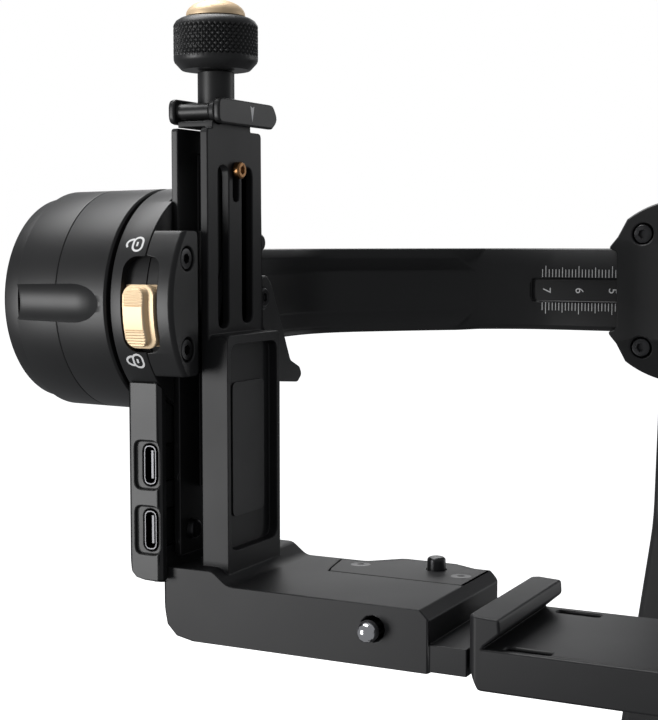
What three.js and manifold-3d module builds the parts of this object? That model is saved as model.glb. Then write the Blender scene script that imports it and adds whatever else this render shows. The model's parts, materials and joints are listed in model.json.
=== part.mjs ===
// Handheld three-axis camera gimbal stabilizer, in millimetres, +Z up.
//
// The handle stands on the origin, with the pan axis along +Z. The lens would look along -Y.
// Everything above the pan motor is written in "head" coordinates, whose origin is the lower,
// front, right-hand corner of the camera arm: X runs along the tilt axis, Y to the rear and Z up.
// The head group carries those coordinates to their place above the handle.

import * as THREE from 'three';
import { mergeVertices } from 'three/addons/utils/BufferGeometryUtils.js';
import Module from 'manifold-3d';

const wasm = await Module();
wasm.setup();

// ---------------------------------------------------------------- driving dimensions

const GAP = 0.3; // between pieces that touch
const BEYOND = 1; // how far a cutter runs past the face it cuts
const CURVE = 3; // steps in a rounded corner
const ROUND = 32; // sides of a large turned piece
const ARC = 60; // sides where only a short arc is kept

const PAN = { x: 20, y: 45 }; // pan axis, in head coordinates
const HEAD_LIFT = 300; // height of the head's origin over the handle's foot

const TILT = { y: 16.5, z: 77.75 }; // tilt axis, along X
const ROLL = { x: 20, z: 77.5 }; // roll axis, along Y

const DRUM = { left: -100.2, right: -75, radius: 26.5, inner: 23.6 };
const RING = { left: -73.65, right: -65.6, radius: 26.5 };
const SHAFT_RADIUS = 8;

const RAIL = { left: -66.2, right: -64.4, front: 4.2, rear: 28.8, foot: 18.6, top: 117.5 };
const PLATE = { left: -58.5, right: -56.5, front: 4.17, rear: 29.1, top: 117.5 };
const BLOCK = { right: -51.5, top: 70.4, recess: 2.3 };
const ARM = { left: -66.5, rear: 43, thick: 13.8, step: 16.9 };
const SCREW = { x: -61.5, y: 16.5, radius: 1.9 };

const RECEIVER = { left: 9, right: 75, front: -0.85, rear: 41.1, floor: 7.3, lip: 14.2, foot: -1.8 };

const BEAM = { front: 136.8, thick: 11, low: 65.5, high: 89.5, right: 62 };
const ROLL_CLAMP = { front: 134, radius: 26.2, halfWidth: 18.7 };
const ROLL_MOTOR = { front: 151, rear: 188, radius: 26.5 };

const PAN_MOTOR = { low: 168, split: 195.7, high: 224, radius: 30 };
const HANDLE = { base: 8, top: 167.7, squash: 0.92, wall: 2.4 };
const PANEL = { face: 25, halfWidth: 14, low: 104, high: 163 };

// ---------------------------------------------------------------- materials

function metal(color, roughness, metalness = 0.85) {
  return new THREE.MeshStandardMaterial({ color, roughness, metalness });
}

const blackAnodised = metal(0x1c1d1f, 0.5);
const greyAnodised = metal(0x2b2c2e, 0.45);
const gold = metal(0xd9bd8e, 0.35);
const bronze = metal(0x8a6239, 0.35);
const chrome = metal(0xcfd2d6, 0.12);
const darkSteel = metal(0x3a3b3d, 0.3);
const steel = metal(0x8d9094, 0.3);
const blackPlastic = metal(0x202123, 0.55, 0);
const rubber = metal(0x151516, 0.85, 0);
const glass = metal(0x101418, 0.08, 0);
const board = metal(0x1d3b2a, 0.6, 0);
const batteryWrap = metal(0x2f4a63, 0.5, 0);

// ---------------------------------------------------------------- solids

function signedVolume(positions, triangles) {
  const corner = (i) => new THREE.Vector3().fromArray(positions, 3 * i);
  let sum = 0;
  for (let t = 0; t < triangles.length; t += 3) {
    const [a, b, c] = [corner(triangles[t]), corner(triangles[t + 1]), corner(triangles[t + 2])];
    sum += a.dot(b.cross(c));
  }
  return sum / 6;
}

function solid(geometry) {
  const bare = geometry.clone();
  bare.deleteAttribute('normal');
  bare.deleteAttribute('uv');
  const merged = mergeVertices(bare, 1e-4);
  const positions = merged.attributes.position.array;
  const index = merged.index.array;
  const triangles = [];
  for (let t = 0; t < index.length; t += 3) {
    const [a, b, c] = [index[t], index[t + 1], index[t + 2]];
    if (a !== b && b !== c && c !== a) triangles.push(a, b, c);
  }
  if (signedVolume(positions, triangles) < 0) triangles.reverse();
  const mesh = new wasm.Mesh({
    numProp: 3,
    vertProperties: new Float32Array(positions),
    triVerts: new Uint32Array(triangles),
  });
  return new wasm.Manifold(mesh);
}

function join(...solids) {
  return solids.reduce((sum, next) => sum.add(next));
}

function cut(body, ...cutters) {
  return cutters.reduce((rest, cutter) => rest.subtract(cutter), body);
}

function box(x0, x1, y0, y1, z0, z1) {
  const geometry = new THREE.BoxGeometry(x1 - x0, y1 - y0, z1 - z0);
  geometry.translate((x0 + x1) / 2, (y0 + y1) / 2, (z0 + z1) / 2);
  return solid(geometry);
}

// A closed outline: each point is [u, v] or [u, v, corner radius].
function outline(points) {
  const shape = new THREE.Shape();
  const count = points.length;
  const at = (i) => new THREE.Vector2(...points[(i + count) % count].slice(0, 2));
  for (let i = 0; i < count; i += 1) {
    const here = at(i);
    const radius = points[i][2] ?? 0;
    const into = at(i - 1).sub(here);
    const out = at(i + 1).sub(here);
    const half = Math.abs(into.angle() - out.angle()) / 2;
    const room = 0.48 * Math.min(into.length(), out.length());
    const reach = Math.min(radius / Math.abs(Math.tan(half)), room);
    const start = here.clone().addScaledVector(into.normalize(), reach);
    const end = here.clone().addScaledVector(out.normalize(), reach);
    if (i === 0) shape.moveTo(start.x, start.y);
    else shape.lineTo(start.x, start.y);
    if (radius > 0) shape.quadraticCurveTo(here.x, here.y, end.x, end.y);
  }
  shape.closePath();
  return shape;
}

function rectangle(u0, u1, v0, v1, radius = 0) {
  return outline([[u0, v0, radius], [u1, v0, radius], [u1, v1, radius], [u0, v1, radius]]);
}

function extruded(shape, depth) {
  return new THREE.ExtrudeGeometry(shape, { depth, bevelEnabled: false, curveSegments: CURVE });
}

// Outline in (Y, Z), run along X.
function alongX(shape, x0, x1) {
  const basis = new THREE.Matrix4().makeBasis(
    new THREE.Vector3(0, 1, 0), new THREE.Vector3(0, 0, 1), new THREE.Vector3(1, 0, 0),
  );
  return solid(extruded(shape, x1 - x0).applyMatrix4(basis).translate(x0, 0, 0));
}

// Outline in (X, Z), run along Y.
function alongY(shape, y0, y1) {
  const basis = new THREE.Matrix4().makeBasis(
    new THREE.Vector3(1, 0, 0), new THREE.Vector3(0, 0, 1), new THREE.Vector3(0, -1, 0),
  );
  return solid(extruded(shape, y1 - y0).applyMatrix4(basis).translate(0, y1, 0));
}

// Outline in (X, Y), run along Z.
function alongZ(shape, z0, z1) {
  return solid(extruded(shape, z1 - z0).translate(0, 0, z0));
}

// Turned pieces: the profile is a list of [distance along the axis, radius].
function turned(profile, segments) {
  const points = profile.map(([along, radius]) => new THREE.Vector2(radius, along));
  const closed = profile[0][1] > 0;
  if (closed) points.push(points[0].clone());
  return new THREE.LatheGeometry(points, segments);
}

function turnedX(profile, y = TILT.y, z = TILT.z, segments = ROUND) {
  return solid(turned(profile, segments).rotateZ(-Math.PI / 2).translate(0, y, z));
}

function turnedY(profile, x = ROLL.x, z = ROLL.z, segments = ROUND) {
  return solid(turned(profile, segments).translate(x, 0, z));
}

function turnedZ(profile, x = 0, y = 0, segments = ROUND) {
  return solid(turned(profile, segments).rotateX(Math.PI / 2).translate(x, y, 0));
}

const rodProfile = (from, to, radius) => [[from, 0], [from, radius], [to, radius], [to, 0]];

function rodX(x0, x1, radius, y, z, segments = 12) {
  return turnedX(rodProfile(x0, x1, radius), y, z, segments);
}

function rodY(y0, y1, radius, x, z, segments = 12) {
  return turnedY(rodProfile(y0, y1, radius), x, z, segments);
}

function rodZ(z0, z1, radius, x, y, segments = 12) {
  return turnedZ(rodProfile(z0, z1, radius), x, y, segments);
}

// ---------------------------------------------------------------- the tree of pieces

const stabilizer = new THREE.Group();
const head = new THREE.Group();
head.position.set(-PAN.x, -PAN.y, HEAD_LIFT);
stabilizer.add(head);

function place(group, name, shape, material) {
  const { vertProperties, triVerts } = shape.getMesh();
  const geometry = new THREE.BufferGeometry();
  geometry.setAttribute('position', new THREE.BufferAttribute(vertProperties, 3));
  geometry.setIndex(new THREE.BufferAttribute(triVerts, 1));
  geometry.computeVertexNormals();
  const mesh = new THREE.Mesh(geometry, material);
  mesh.name = name;
  group.add(mesh);
}

// ---------------------------------------------------------------- lock sliders

// Each motor has a slider that runs round its housing in a shallow recess. It is drawn on an
// axis along X, at the origin, with the slider towards -Y.
const SLIDER = { depth: 2.1, proud: 1.6, clear: 0.3, baseLow: -10.4, baseHigh: 4.8, recess: 10.8 };

function sliderBand(radius, inner, outer, x0, x1, low, high, corner) {
  const band = solid(turned([[x0, inner], [x0, outer], [x1, outer], [x1, inner]], ARC)
    .rotateZ(-Math.PI / 2));
  const front = outline([[x0, low, corner], [x1, low, corner], [x1, high, corner], [x0, high, corner]]);
  return band.intersect(alongY(front, -radius - 5, -radius + 6));
}

function sliderRecess(radius, x0, x1) {
  const { depth, recess, clear } = SLIDER;
  return sliderBand(radius, radius - depth, radius + 1, x0 - clear, x1 + clear, -recess, recess, 3.4);
}

function lockSlider(radius, x0, x1) {
  const { depth, proud, baseLow, baseHigh, clear } = SLIDER;
  const base = sliderBand(radius, radius - depth + clear, radius + 0.1, x0, x1, baseLow, baseHigh, 3);
  const cap = sliderBand(radius, radius - 0.5, radius + proud, x0 + 0.9, x1 - 2, baseLow + 1, baseHigh - 0.8, 2);
  return join(base, cap);
}

// ---------------------------------------------------------------- camera arm and its plate

function armBody() {
  const round = 7.5;
  const side = outline([
    [0, 0, 0.6], [ARM.left, 0, round], [ARM.left, ARM.step, 1.2], [-53.5, ARM.step, 3],
    [-49.5, ARM.thick, 4], [-2.2, ARM.thick], [0, ARM.thick - 2.2],
  ]);
  const plan = outline([
    [ARM.left, 0, 0.6], [0, 0, 0.6], [0, ARM.rear, 1.5], [-6, ARM.rear, 3], [-12, 46, 3],
    [-26, 46, 3], [-33, 39.3, 3], [ARM.left, 39.3, 1],
  ]);
  const level = alongY(side, -BEYOND, 50).intersect(alongZ(plan, -BEYOND, 20));
  const block = alongX(
    rectangle(PLATE.front, PLATE.rear, 5, BLOCK.top, 1.6), PLATE.left, BLOCK.right,
  );
  const plate = alongX(
    rectangle(PLATE.front, PLATE.rear, BLOCK.top - 6, PLATE.top, 1.2), PLATE.left, PLATE.right,
  );
  return join(level, block, plate);
}

// The bail that locks the fine screw turns about its cross bar, just in front of the screw.
const BAIL = { y: 9, z: 121.5, half: 2.9, tip: 34.2, bar: 1.85, collar: 2.6 };

// The plate's top is folded over the rail and carries the fine screw.
const BRACKET = { foot: PLATE.top + GAP, top: 119.2 };

function screwBracket() {
  const shelf = box(RAIL.left + GAP, PLATE.right, 6.6, 24, BRACKET.foot, BRACKET.top);
  const neck = box(PLATE.left, PLATE.right, 6.6, 24, PLATE.top - 2, BRACKET.top);
  const collarRoom = rodX(-58.3, -50, BAIL.collar + GAP, BAIL.y, BAIL.z, 18);
  return cut(join(shelf, neck), collarRoom);
}

// Two long slots lighten the plate. The short one guides the stop screw.
const PLATE_SLOTS = [
  { y: 11.2, width: 5, low: 71.6, high: 109.2 },
  { y: 22.2, width: 5, low: 72.4, high: 109.2 },
  { y: 17, width: 2.8, low: 101, high: 110 },
];

const INSERT = { left: -36.5, right: -2.5, front: 25.2, deep: 2.2 };
const PLUNGER = { x: -13.2, z: 8.4, radius: 2.4 };
const TOP_PIN = { x: -14.2, y: 38.3, radius: 2.2 };

function insertOutline(inset) {
  return outline([
    [INSERT.left - 1 + inset, 28 + inset], [INSERT.left + inset, INSERT.front + inset],
    [INSERT.right - inset, INSERT.front + inset], [INSERT.right - inset, 42],
    [-6.5, 42], [-12.5, 44.8], [-25.5, 44.8], [-32.5, 38.1], [INSERT.left - 3 + inset, 38.1],
  ]);
}

function cameraArm() {
  const recessFloor = BLOCK.right - BLOCK.recess;
  const recess = alongX(rectangle(5.6, 27.5, 20.5, 68.2, 2.6), recessFloor, BLOCK.right + BEYOND);
  const slots = PLATE_SLOTS.map(({ y, width, low, high }) => alongX(
    rectangle(y - width / 2, y + width / 2, low, high, width * 0.45),
    PLATE.left - BEYOND, PLATE.right + BEYOND,
  ));
  const insertPocket = alongZ(insertOutline(0), ARM.thick - INSERT.deep - GAP, 20);
  const plungerHole = rodY(-BEYOND, 14, PLUNGER.radius + 0.5, PLUNGER.x, PLUNGER.z);
  const pinHole = rodZ(4, 20, TOP_PIN.radius + 0.3, TOP_PIN.x, TOP_PIN.y);
  const railNotch = box(
    ARM.left - BEYOND, RAIL.right + GAP, RAIL.front - GAP, RAIL.rear + GAP, 11, ARM.step + BEYOND,
  );
  const screwHole = rodZ(112, 130, SCREW.radius + GAP, SCREW.x, SCREW.y, 12);
  return cut(
    join(armBody(), screwBracket(), tongue()), recess, ...slots, insertPocket, plungerHole,
    pinHole, screwHole, railNotch, tongueLockSlot(),
  );
}

// The arm's right end carries the tongue that the receiver slides on.
const TONGUE = { right: 62, front: 4, rear: 37, top: 4.4, foot: 1.4, open: 8.5 };

function tongue() {
  const near = box(-6, TONGUE.open, 0.4, 40, 0.4, 6.4);
  const far = box(TONGUE.open - 1, TONGUE.right, TONGUE.front, TONGUE.rear, TONGUE.foot, TONGUE.top);
  return join(near, far);
}

function tongueLockSlot() {
  return alongZ(rectangle(24, 58, 18.5, 22.5, 1.8), -BEYOND, 8);
}

place(head, 'camera_arm', cameraArm(), greyAnodised);

const insertPlate = alongZ(insertOutline(GAP), ARM.thick - INSERT.deep, ARM.thick);
place(
  head, 'insert_plate',
  cut(insertPlate, rodZ(4, 20, TOP_PIN.radius + 0.3, TOP_PIN.x, TOP_PIN.y)), greyAnodised,
);

const labelFloor = BLOCK.right - BLOCK.recess;
place(
  head, 'label_plate',
  alongX(rectangle(9.6, 24.4, 27.8, 59.2, 1.6), labelFloor + 0.05, labelFloor + 0.4), blackPlastic,
);

const plungerProfile = [
  [-4.9, 0], [-4.7, 0.9], [-4.1, 1.7], [-3.2, 2.25], [-2.2, 2.4], [-1.2, 2.2],
  [-0.6, 1.8], [10, 1.8], [10, 0],
];
place(head, 'front_plunger', turnedY(plungerProfile, PLUNGER.x, PLUNGER.z, 18), chrome);

const pinProfile = [[7.5, 0], [7.5, 2.2], [16.3, 2.2], [16.8, 1.7], [16.8, 0]];
place(head, 'top_pin', turnedZ(pinProfile, TOP_PIN.x, TOP_PIN.y, 14), darkSteel);

// ---------------------------------------------------------------- receiver for the camera plate

const JAW = { left: 66.4, hook: 62.6, right: 74.6 };
const LEVER_PIVOT = { x: 80, y: 20 };
const RECEIVER_SLOTS = { x: 21.4, ys: [2.4, 37.1], halfLength: 5, halfWidth: 1.3 };
const LUG = { tip: 84.8, front: 12, rear: 28, top: 1.3 };

function receiverBase() {
  const { left, right, front, rear, floor, lip, foot } = RECEIVER;
  const side = outline([
    [left + 2.3, foot], [right, foot], [right, floor], [left + 3.2, floor],
    [left + 7.2, lip - 3.4], [left + 7, lip - 0.4], [left, lip], [left, 2.5],
  ]);
  const chamfer = 1.4;
  const plan = outline([
    [left, front + chamfer], [left + chamfer, front], [right - chamfer, front],
    [right, front + chamfer], [right, rear - chamfer], [right - chamfer, rear],
    [left + chamfer, rear], [left, rear - chamfer],
  ]);
  const body = alongY(side, front, rear).intersect(alongZ(plan, foot - BEYOND, lip + BEYOND));
  const { front: tongueFront, rear: tongueRear, top, foot: tongueFoot } = TONGUE;
  const channel = box(
    left - BEYOND, right - 2, tongueFront - GAP, tongueRear + GAP, tongueFoot - GAP, top + GAP,
  );
  const { x, ys, halfLength, halfWidth } = RECEIVER_SLOTS;
  const strapSlots = ys.map((y) => box(
    x - halfLength, x + halfLength, y - halfWidth, y + halfWidth, foot - BEYOND, lip,
  ));
  const jawSeat = box(JAW.left - 4.5, right + BEYOND, 2.2, 38, top + 0.9, lip);
  const lug = alongZ(outline([
    [right - 2, LUG.front], [LUG.tip - 3, LUG.front + 2], [LUG.tip, LUG.front + 5],
    [LUG.tip, LUG.rear - 5], [LUG.tip - 3, LUG.rear - 2], [right - 2, LUG.rear],
  ]), foot, LUG.top);
  const pinHole = rodZ(-5, 5, 1.7, LEVER_PIVOT.x, LEVER_PIVOT.y, 8);
  return cut(join(cut(body, channel, ...strapSlots, jawSeat), lug), pinHole);
}

place(head, 'receiver_base', receiverBase(), greyAnodised);

const jawSide = outline([
  [JAW.hook - 0.5, 5.6], [JAW.right, 5.6], [JAW.right, 14.2, 0.6], [JAW.hook, 14.2, 0.5],
  [JAW.hook, 11.4, 0.3], [JAW.left, 7.6], [JAW.hook - 0.5, 7.3],
]);
place(head, 'receiver_jaw', alongY(jawSide, 2.6, 37.6), greyAnodised);

const receiverLever = join(
  rodZ(1.6, 5.3, 5, LEVER_PIVOT.x, LEVER_PIVOT.y, 20),
  alongZ(outline([[76.5, 20], [83.5, 20], [82, -6, 2.2], [78, -6, 2.2]]), 2, 5.1),
);
place(
  head, 'receiver_lever',
  cut(receiverLever, rodZ(-5, 10, 1.7, LEVER_PIVOT.x, LEVER_PIVOT.y, 12)), blackAnodised,
);

const leverPin = join(
  rodZ(RECEIVER.foot, 6.6, 1.4, LEVER_PIVOT.x, LEVER_PIVOT.y, 12),
  rodZ(5.6, 6.6, 2.8, LEVER_PIVOT.x, LEVER_PIVOT.y, 16),
);
place(head, 'receiver_lever_pin', leverPin, darkSteel);

// ---------------------------------------------------------------- vertical rail and fine screw

const WEB = { front: 12.7, rear: 20.3, right: -58.9, low: 34, high: 112 };
const STOP = { y: 17, z: 108.3 };

function verticalRail() {
  const flange = alongX(rectangle(RAIL.front, RAIL.rear, RAIL.foot, RAIL.top, 0.8), RAIL.left, RAIL.right);
  const web = box(RAIL.right - 0.5, WEB.right, WEB.front, WEB.rear, WEB.low, WEB.high);
  const bore = rodZ(WEB.low - BEYOND, WEB.high + BEYOND, SCREW.radius + GAP, SCREW.x, SCREW.y, 12);
  const stopHole = rodX(-65, -50, 1.25, STOP.y, STOP.z, 12);
  return cut(join(flange, web), bore, stopHole);
}

place(head, 'vertical_rail', verticalRail(), blackAnodised);

const stopScrew = join(
  rodX(-59.6, -56.1, 1.1, STOP.y, STOP.z, 12),
  turnedX([[-56.3, 0], [-56.3, 2], [-55, 2], [-54.7, 1.7], [-54.7, 0]], STOP.y, STOP.z, 14),
);
const hexSocket = (x0, x1, size, y, z) => rodX(x0, x1, size, y, z, 6);
place(head, 'fine_stop_screw', cut(stopScrew, hexSocket(-55.5, -52, 1, STOP.y, STOP.z)), bronze);

place(
  head, 'rail_stop_screw',
  turnedX([[-64.3, 0], [-64.3, 2.4], [-63, 2.2], [-62.6, 1.7], [-62.6, 0]], 9, 24.4, 14), darkSteel,
);

const leadScrew = join(
  rodZ(62, BRACKET.top + 0.5, SCREW.radius, SCREW.x, SCREW.y, 12),
  rodZ(BRACKET.top + 0.2, 131.2, 4.3, SCREW.x, SCREW.y, 24),
);
place(head, 'lead_screw', leadScrew, blackAnodised);

const knobProfile = [
  [131.5, 0], [131.5, 8.1], [133.2, 9.6], [134.4, 9.85], [141.6, 9.85], [142.8, 9.3],
  [143.6, 7.9], [143.6, 0],
];
place(head, 'adjust_knob', turnedZ(knobProfile, SCREW.x, SCREW.y, ROUND), blackAnodised);

const capProfile = [
  [143.9, 0], [143.9, 6.9], [144.8, 6.75], [146, 5.9], [147, 4.4], [147.6, 2.3], [147.8, 0],
];
place(head, 'knob_cap', turnedZ(capProfile, SCREW.x, SCREW.y, 24), gold);

// ---------------------------------------------------------------- bail that locks the fine screw

function bailPaddle(x0, x1) {
  const { y, z, half, tip } = BAIL;
  const shape = outline([
    [y - half, z - half, 2], [tip - 3, z - half, 0.6], [tip, z - 0.6, 2.2],
    [tip - 2.5, z + half, 2.2], [y - half, z + half, 2],
  ]);
  return alongX(shape, x0, x1);
}

place(head, 'bail_lever', join(
  bailPaddle(-68.2, -66.5),
  bailPaddle(-56.2, -54.5),
  rodX(-67, -55.5, BAIL.bar, BAIL.y, BAIL.z, 14),
  rodX(-57.9, -56, BAIL.collar, BAIL.y, BAIL.z, 14),
), blackAnodised);

// ---------------------------------------------------------------- tilt motor

const drumProfile = [
  [DRUM.left, DRUM.inner], [DRUM.left, 26.1], [DRUM.right - 0.5, DRUM.radius],
  [DRUM.right, DRUM.radius - 0.5], [DRUM.right, 12], [DRUM.right - 2.5, 12],
  [DRUM.right - 2.5, DRUM.inner],
];

// A finger flute along the front of the drum, running out in a taper.
const FLUTE = { radius: 8, deep: 1.9, floorEnd: -81.7, end: -76.4, endRadius: 5.9 };

function drumFlute() {
  const { radius, deep, floorEnd, end, endRadius } = FLUTE;
  const start = DRUM.left - BEYOND;
  const away = DRUM.radius - deep + radius;
  return turnedX(
    [[start, 0], [start, radius], [floorEnd, radius], [end, endRadius], [end, 0]],
    TILT.y - away, TILT.z, 40,
  );
}

place(head, 'tilt_drum', cut(turnedX(drumProfile, TILT.y, TILT.z, ROUND), drumFlute()), blackAnodised);

const endRingProfile = [
  [-105.8, 0], [-105.8, 23.4], [-104.9, 24.5], [DRUM.left - 0.3, 25.1], [DRUM.left - 0.3, 23.2],
  [-97.5, 23.2], [-97.5, 21], [-103.4, 21], [-103.4, 0],
];
place(head, 'drum_end_cap', turnedX(endRingProfile, TILT.y, TILT.z, ROUND), blackAnodised);

const bearingProfile = (x0, x1) => [[x0, SHAFT_RADIUS + 0.3], [x0, 11.7], [x1, 11.7], [x1, SHAFT_RADIUS + 0.3]];
place(head, 'tilt_bearing', turnedX(bearingProfile(-77.4, -75.1), TILT.y, TILT.z, 18), steel);

const rotorProfile = [
  [-96, 0], [-96, 20], [-80, 20], [-80, 18], [-93, 18], [-93, SHAFT_RADIUS],
  [-66.9, SHAFT_RADIUS], [-66.9, 0],
];
place(head, 'tilt_rotor', turnedX(rotorProfile, TILT.y, TILT.z, 18), steel);

// ---------------------------------------------------------------- lock ring, clamp and ports

const SLIDER_SPAN = { left: -70.6, right: -61.7 };
const LOCK_PIN = { y: -1.2, z: 62.6 };

function tiltRecess() {
  return sliderRecess(RING.radius, SLIDER_SPAN.left, SLIDER_SPAN.right).translate([0, TILT.y, TILT.z]);
}

function lockRing() {
  const bore = SHAFT_RADIUS + 0.3;
  const ring = turnedX([
    [RING.left, bore], [RING.left, RING.radius - 0.4], [RING.left + 0.4, RING.radius],
    [RING.right, RING.radius], [RING.right, bore],
  ], TILT.y, TILT.z, ROUND);
  const railChannel = box(RAIL.left - GAP, 0, RAIL.front - 0.6, RAIL.rear + 0.6, 0, 150);
  const pinHole = rodX(-80, -60, 1.3, LOCK_PIN.y, LOCK_PIN.z, 12);
  return cut(ring, railChannel, tiltRecess(), pinHole);
}

place(head, 'lock_ring', lockRing(), blackAnodised);
place(
  head, 'tilt_lock_slider',
  lockSlider(RING.radius, SLIDER_SPAN.left, SLIDER_SPAN.right).translate([0, TILT.y, TILT.z]), gold,
);
place(
  head, 'tilt_lock_pin',
  turnedX([[-74.8, 0], [-74.8, 0.6], [-74.4, 1], [-68, 1], [-68, 0]], LOCK_PIN.y, LOCK_PIN.z, 12), steel,
);

const CLAMP = { face: -57.4, bevel: 0.8, low: 61.4, high: 94.2, screwY: -3.1, screwRise: 10.2 };

function clampBlock() {
  const { face, bevel, low, high, screwY, screwRise } = CLAMP;
  const left = RING.right + 0.1;
  const drum = turnedX([
    [left, 0], [left, RING.radius], [face - bevel, RING.radius], [face, RING.radius - bevel], [face, 0],
  ], TILT.y, TILT.z, ARC);
  const front = alongX(rectangle(-14, 1.3, low, high, 1.2), left - BEYOND, face + BEYOND);
  const tongueIn = box(RAIL.right + GAP, PLATE.left - 1.4, 0, 11.6, low, high);
  const bores = [-1, 1].map((side) => rodX(
    face - 1.4, face + BEYOND, 2.8, screwY, TILT.z + side * screwRise, 24,
  ));
  return cut(join(drum.intersect(front), tongueIn), tiltRecess(), ...bores);
}

place(head, 'clamp_block', clampBlock(), blackAnodised);

function capScrewX(face, radius, length, y, z) {
  const body = turnedX([
    [face - length, 0], [face - length, radius], [face - 0.3, radius], [face, radius - 0.3], [face, 0],
  ], y, z, 18);
  return cut(body, hexSocket(face - 0.8, face + BEYOND, radius * 0.5, y, z));
}

for (const [name, side] of [['clamp_screw_lower', -1], ['clamp_screw_upper', 1]]) {
  const z = TILT.z + side * CLAMP.screwRise;
  place(head, name, capScrewX(CLAMP.face - 0.3, 2.35, 1, CLAMP.screwY, z), darkSteel);
}

const REAR_JAW = { front: 21.6, rear: 37.5, low: 63, high: 94 };
const PIVOT = { y: 33.7, z: 78 };
const BUTTON = { y: 31.8, z: 91.4 };

// The lever's hub turns inside this radius, beside the jaw and clear of the jaw's tongue.
const LEVER = { left: -62, right: -58.8, hub: 6.2, counterbore: -59.3 };

const rearJaw = cut(
  join(
    box(
      RAIL.right + GAP, PLATE.left - 1.4,
      REAR_JAW.front, PIVOT.y - LEVER.hub - GAP, REAR_JAW.low, REAR_JAW.high - 4,
    ),
    box(
      RAIL.right + GAP, LEVER.left - GAP, REAR_JAW.front, REAR_JAW.rear, REAR_JAW.low, REAR_JAW.high,
    ),
    box(
      RING.right + GAP, LEVER.left - GAP, RAIL.rear + GAP, REAR_JAW.rear, REAR_JAW.low, REAR_JAW.high,
    ),
  ),
  rodX(-70, -60, 1.35, BUTTON.y, BUTTON.z, 12),
  rodX(-70, -60, 1.7, PIVOT.y, PIVOT.z, 12),
);
place(head, 'rear_jaw', rearJaw, blackAnodised);

place(head, 'jaw_release_button', join(
  turnedX([[-60.8, 0], [-60.8, 2.3], [-58.5, 2.3], [-57.9, 1.7], [-57.9, 0]], BUTTON.y, BUTTON.z, 18),
  rodX(-64, -60.5, 1.05, BUTTON.y, BUTTON.z, 12),
), darkSteel);

function clampLever() {
  const shape = outline([
    [29.7, 76, 1.5], [29.7, 82.2, 2], [35.8, 83.6, 2.5], [38.4, 80.9, 1.5], [44.6, 69, 20],
    [48.3, 61.6, 2], [53.2, 59.6, 1.5], [54.6, 57.4, 1.2], [52.2, 55.6, 1], [41.2, 56.6, 4],
    [36, 68, 10],
  ]);
  return cut(
    alongX(shape, LEVER.left, LEVER.right),
    rodX(-70, -50, 1.8, PIVOT.y, PIVOT.z, 12),
    rodX(LEVER.counterbore, -50, 2.7, PIVOT.y, PIVOT.z, 18),
  );
}

place(head, 'rail_clamp_lever', clampLever(), blackAnodised);
place(head, 'lever_pivot_screw', join(
  capScrewX(-58.1, 2.4, 0.9, PIVOT.y, PIVOT.z),
  rodX(-64, -58.9, 1.4, PIVOT.y, PIVOT.z, 12),
), darkSteel);

const PORT = { x: -68.3, front: -3.3, low: 25.6, high: 40.7 };
const USB = { halfWidth: 1.65, halfHeight: 4.55, depth: 8 };

function portHousing() {
  const section = outline([
    [RING.left, PORT.front, 0.8], [-65.9, PORT.front, 0.5], [-65, -2.4, 0.3], [-65, -0.6],
    [-66.9, -0.6], [-66.9, 19.5, 1], [RING.left, 19.5, 2],
  ]);
  const front = outline([
    [RING.left, 13.9, 4], [-60, 13.9], [-60, 70], [RING.left, 70],
  ]);
  const body = alongZ(section, 13.9, 66).intersect(alongY(front, -10, 30));
  const ringSeat = rodX(-80, -60, RING.radius + GAP, TILT.y, TILT.z, ROUND);
  const pockets = [PORT.low, PORT.high].map((z) => alongY(
    rectangle(-72, -65.6, z - 5.6, z + 5.6, 1.6), PORT.front - BEYOND, PORT.front + 0.9,
  ));
  const sockets = [PORT.low, PORT.high].map((z) => alongY(
    rectangle(PORT.x - 1.95, PORT.x + 1.95, z - 4.85, z + 4.85, 1.9), PORT.front, PORT.front + 9.4,
  ));
  return cut(body, ringSeat, ...pockets, ...sockets);
}

place(head, 'port_housing', portHousing(), blackAnodised);

function usbSocket(z) {
  const { halfWidth, halfHeight, depth } = USB;
  const front = PORT.front + 0.8;
  const shell = alongY(
    rectangle(PORT.x - halfWidth, PORT.x + halfWidth, z - halfHeight, z + halfHeight, 1.5),
    front, front + depth,
  );
  const mouth = alongY(
    rectangle(
      PORT.x - halfWidth + 0.35, PORT.x + halfWidth - 0.35,
      z - halfHeight + 0.35, z + halfHeight - 0.35, 1.2,
    ), front - BEYOND, front + depth - 1,
  );
  const tab = box(PORT.x - 0.35, PORT.x + 0.35, front + 1, front + depth - 0.5, z - 3.3, z + 3.3);
  return join(cut(shell, mouth), tab);
}

place(head, 'usb_socket_lower', usbSocket(PORT.low), steel);
place(head, 'usb_socket_upper', usbSocket(PORT.high), steel);

// ---------------------------------------------------------------- roll beam, behind the camera

// The beam leaves the back of the drum, turns through a slanted corner and runs along X.
const ROOT = { x: -82.4, front: 34, left: -98 };
const LIP = { proud: 3, deep: 3 };
const flat = (x, y) => new THREE.Vector3(x, y, 0);

function beamPath() {
  const middle = BEAM.front + BEAM.thick / 2;
  const path = new THREE.CurvePath();
  path.add(new THREE.LineCurve3(flat(ROOT.x, ROOT.front), flat(ROOT.x, 78)));
  path.add(new THREE.CubicBezierCurve3(
    flat(ROOT.x, 78), flat(ROOT.x, 99), flat(-73, 107), flat(-60, 119.5),
  ));
  path.add(new THREE.CubicBezierCurve3(
    flat(-60, 119.5), flat(-54.5, 124.8), flat(-49, 129.8), flat(-43, 133.6),
  ));
  path.add(new THREE.CubicBezierCurve3(
    flat(-43, 133.6), flat(-35, 138.7), flat(-27, middle), flat(-17, middle),
  ));
  path.add(new THREE.LineCurve3(flat(-17, middle), flat(BEAM.right, middle)));
  return path;
}

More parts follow.
